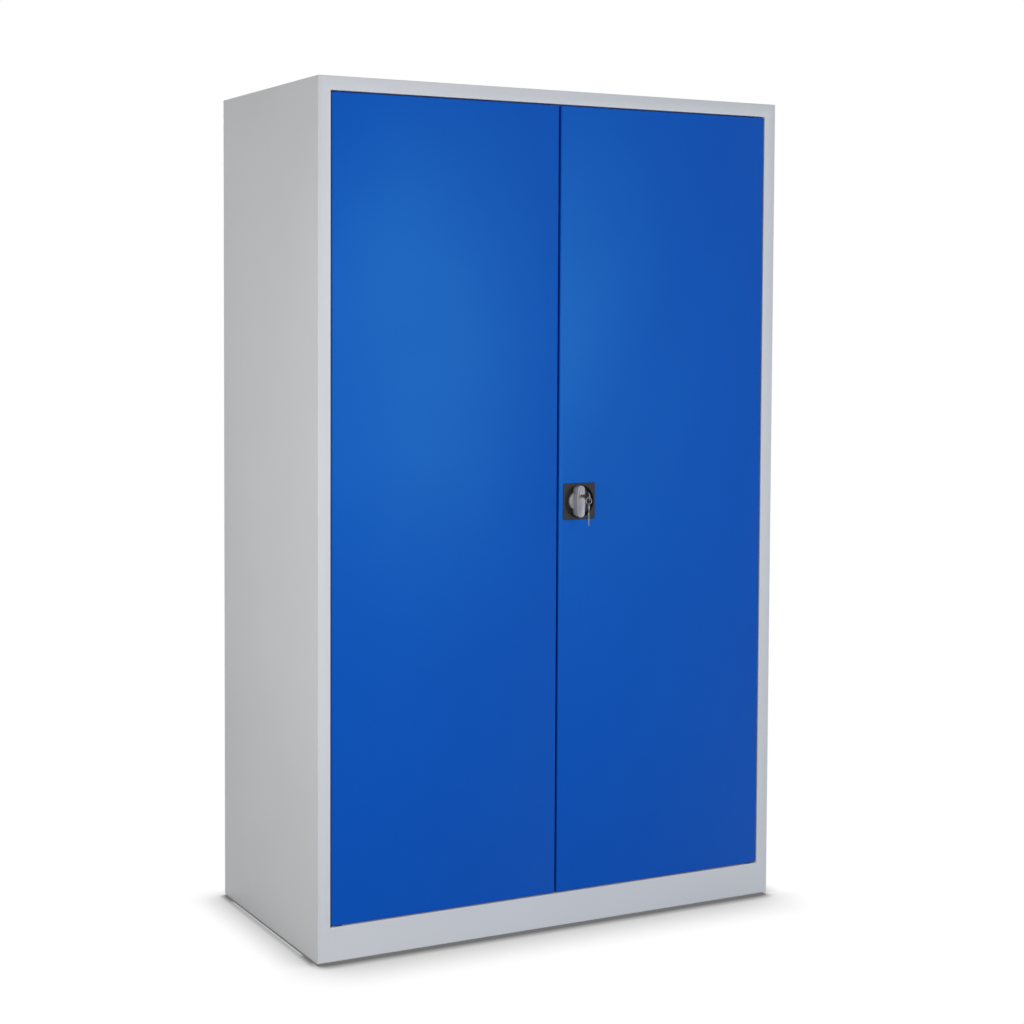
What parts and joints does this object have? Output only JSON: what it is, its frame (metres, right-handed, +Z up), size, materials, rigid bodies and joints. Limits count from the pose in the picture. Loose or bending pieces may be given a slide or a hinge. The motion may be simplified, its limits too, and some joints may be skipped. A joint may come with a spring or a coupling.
{
  "type": "tool cabinet with doors",
  "caption": "Tall steel cabinet with two hinged doors over adjustable shelves, locked by a turning handle that drives two rods and a tongue.",
  "frame": {"origin": "on the floor, under the middle of the whole object with its keys", "axes": "+Z up, +Y from the doors to the back, +X to the right as seen from the front"},
  "size_m": [1.2, 0.6564, 1.95],
  "materials": {
    "carcass_paint": "fine-textured light grey powder coat",
    "door_paint": "satin blue powder coat",
    "zinc_plate": "bright zinc plate",
    "black_plastic": "fine-grained moulded plastic",
    "rubber": "matt rubber",
    "grip_silver": "satin silver lacquer on die casting",
    "lock_chrome": "plated lock cylinder",
    "key_steel": "nickel-plated key"
  },
  "bodies": {
    "carcass": {"left_side_panel": "carcass_paint", "right_side_panel": "carcass_paint", "roof_panel": "carcass_paint", "floor_panel": "carcass_paint", "back_panel": "carcass_paint", "top_stop_angle": "carcass_paint", "floor_stop_angle": "carcass_paint", "door_buffers": "rubber", "corner_gussets": "zinc_plate", "levelling_feet": "black_plastic", "left_front_upright": "carcass_paint", "left_rear_upright": "carcass_paint", "right_front_upright": "carcass_paint", "right_rear_upright": "carcass_paint", "shelf_1": "carcass_paint", "shelf_2": "carcass_paint", "shelf_3": "carcass_paint", "shelf_4": "carcass_paint", "shelf_clips_1": "zinc_plate", "shelf_clips_2": "zinc_plate", "shelf_clips_3": "zinc_plate", "shelf_clips_4": "zinc_plate", "hinge_pins": "zinc_plate", "hinge_washers": "zinc_plate"},
    "left_door": {"left_door_panel": "door_paint", "left_door_stiffener": "door_paint", "left_door_bushes": "zinc_plate"},
    "right_door": {"right_door_panel": "door_paint", "right_door_stiffener": "door_paint", "right_door_bushes": "zinc_plate", "lock_plate": "black_plastic", "lock_retainer": "zinc_plate", "lock_screws": "zinc_plate", "rod_guides": "black_plastic"},
    "handle": {"handle_grip": "grip_silver", "handle_circlip": "zinc_plate", "lock_cylinder": "lock_chrome", "lock_cam": "zinc_plate", "cam_nut": "zinc_plate"},
    "upper_rod": {"upper_rod": "zinc_plate"},
    "lower_rod": {"lower_rod": "zinc_plate"},
    "key": {"lock_plug": "lock_chrome", "door_key": "key_steel"},
    "key_ring": {"key_ring": "key_steel", "spare_key": "key_steel"}
  },
  "joints": [
    {"name": "left_door_hinge", "type": "hinge", "parent": "carcass", "child": "left_door", "pos_m": [-0.5475, -0.26133, 1], "axis": [0, 0, -1], "range_deg": [0, 110]},
    {"name": "right_door_hinge", "type": "hinge", "parent": "carcass", "child": "right_door", "pos_m": [0.5475, -0.26133, 1], "axis": [0, 0, 1], "range_deg": [0, 110]},
    {"name": "handle_turn", "type": "hinge", "parent": "right_door", "child": "handle", "pos_m": [0.0555, -0.27033, 1.002], "axis": [0, 1, 0], "range_deg": [0, 90]},
    {"name": "upper_rod_slide", "type": "slide", "parent": "right_door", "child": "upper_rod", "axis": [0, 0, 1], "range_m": [0, 0.02405]},
    {"name": "lower_rod_slide", "type": "slide", "parent": "right_door", "child": "lower_rod", "axis": [0, 0, -1], "range_m": [0, 0.02405]},
    {"name": "key_turn", "type": "hinge", "parent": "handle", "child": "key", "pos_m": [0.0555, -0.27033, 1.0155], "axis": [0, 1, 0], "range_deg": [0, 90]},
    {"name": "key_ring_swing", "type": "hinge", "parent": "key", "child": "key_ring", "pos_m": [0.0555, -0.31683, 1.0142], "axis": [1, 0, 0], "range_deg": [-80, 8]}
  ],
  "couplings": [
    {"joint": "upper_rod_slide", "follows": "handle_turn", "m_per_rad": 0.015305},
    {"joint": "lower_rod_slide", "follows": "handle_turn", "m_per_rad": 0.015305}
  ]
}
